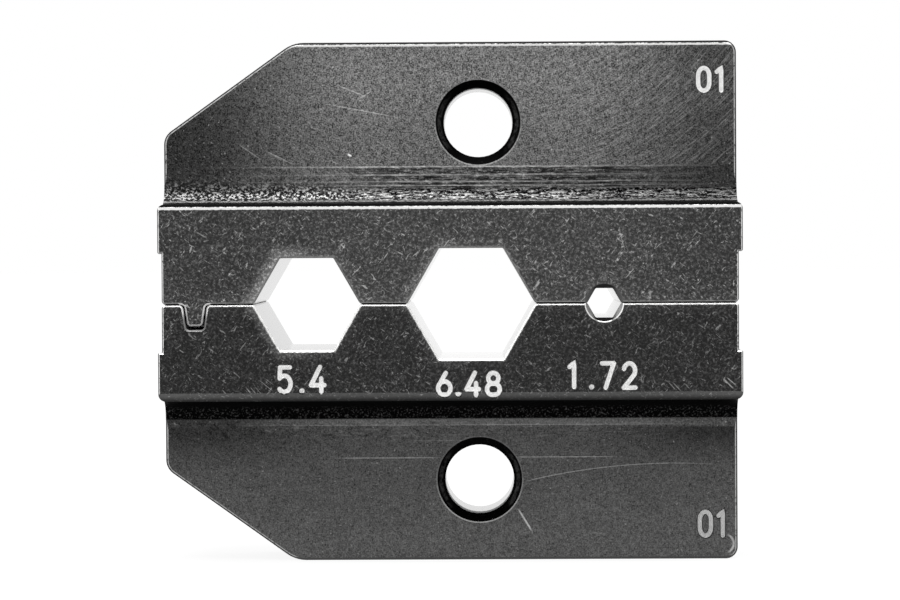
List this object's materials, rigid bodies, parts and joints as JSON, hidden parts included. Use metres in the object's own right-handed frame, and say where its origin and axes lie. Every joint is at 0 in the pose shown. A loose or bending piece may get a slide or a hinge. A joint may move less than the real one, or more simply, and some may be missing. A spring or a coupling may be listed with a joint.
{
  "type": "crimp die insert",
  "caption": "Matched upper and lower crimp dies of blackened steel, T in section, with six-sided nests split by the parting plane, a guide tongue and a bolt bore in each web.",
  "frame": {"origin": "middle of the parting plane, half way through the thickness, with the dies closed", "axes": "+X across the dies to the right as seen from the marked front, +Y through the thickness to the back, +Z along the closing stroke to the upper die"},
  "size_m": [0.0342, 0.012, 0.0308],
  "materials": {
    "blackened_steel": "black oxide over milled steel, bright in the ground nests and bores and along worn edges"
  },
  "bodies": {
    "lower_die": {"lower_die": "blackened_steel"},
    "upper_die": {"upper_die": "blackened_steel"}
  },
  "joints": [
    {"name": "closing_stroke", "type": "slide", "parent": "lower_die", "child": "upper_die", "axis": [0, 0, 1], "range_m": [0, 0.008]}
  ]
}
